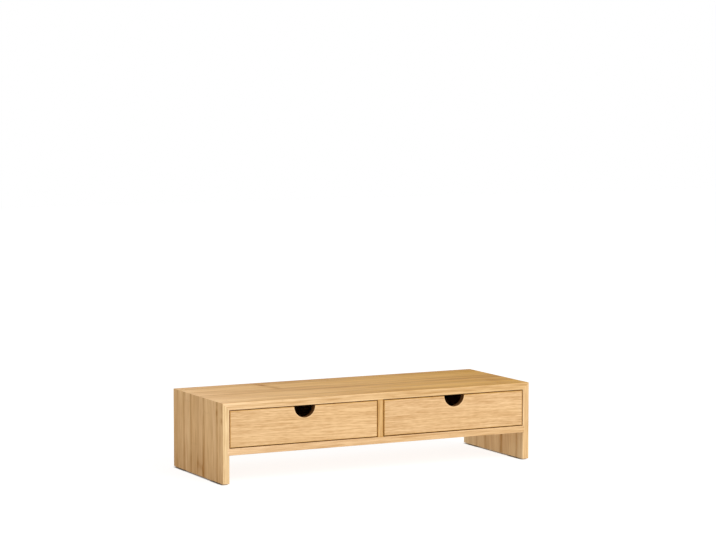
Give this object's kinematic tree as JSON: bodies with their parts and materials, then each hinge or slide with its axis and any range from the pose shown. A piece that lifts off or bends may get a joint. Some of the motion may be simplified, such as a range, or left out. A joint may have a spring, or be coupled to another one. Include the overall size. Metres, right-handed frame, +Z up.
{
  "type": "monitor stand",
  "caption": "Laminated bamboo desk riser for a monitor, with finger-notched drawers side by side under its top and an open keyboard space below them.",
  "frame": {"origin": "middle of the base, on the surface the stand rests on, below the middle of the top", "axes": "+X along the width to the right as seen from the front, -Y is the drawer side, +Z up"},
  "size_m": [0.56, 0.2, 0.13],
  "materials": {
    "frame_board": "satin clear lacquer on laminated bamboo",
    "drawer_front": "satin clear lacquer on flat-sawn bamboo",
    "drawer_wall": "sanded bamboo with a thin clear coat",
    "thin_board": "sanded thin bamboo board",
    "dowel": "bare turned hardwood",
    "screw": "zinc-plated countersunk screw",
    "foot_pad": "matt dark anti-slip pad"
  },
  "bodies": {
    "frame": {"top_panel": "frame_board", "left_side_panel": "frame_board", "right_side_panel": "frame_board", "lower_shelf": "frame_board", "centre_divider": "frame_board", "back_panel": "thin_board", "left_mitre_spline": "dowel", "right_mitre_spline": "dowel", "left_shelf_dowels": "dowel", "right_shelf_dowels": "dowel", "divider_dowels": "dowel", "back_screws": "screw", "front_left_pad": "foot_pad", "front_right_pad": "foot_pad", "rear_left_pad": "foot_pad", "rear_right_pad": "foot_pad"},
    "left_drawer": {"left_drawer_front": "drawer_front", "left_drawer_left_wall": "drawer_wall", "left_drawer_right_wall": "drawer_wall", "left_drawer_back_wall": "drawer_wall", "left_drawer_bottom": "thin_board", "left_drawer_front_dowels": "dowel", "left_drawer_back_dowels": "dowel"},
    "right_drawer": {"right_drawer_front": "drawer_front", "right_drawer_left_wall": "drawer_wall", "right_drawer_right_wall": "drawer_wall", "right_drawer_back_wall": "drawer_wall", "right_drawer_bottom": "thin_board", "right_drawer_front_dowels": "dowel", "right_drawer_back_dowels": "dowel"}
  },
  "joints": [
    {"name": "left_drawer_slide", "type": "slide", "parent": "frame", "child": "left_drawer", "axis": [0, -1, 0], "range_m": [0, 0.15]},
    {"name": "right_drawer_slide", "type": "slide", "parent": "frame", "child": "right_drawer", "axis": [0, -1, 0], "range_m": [0, 0.15]}
  ]
}
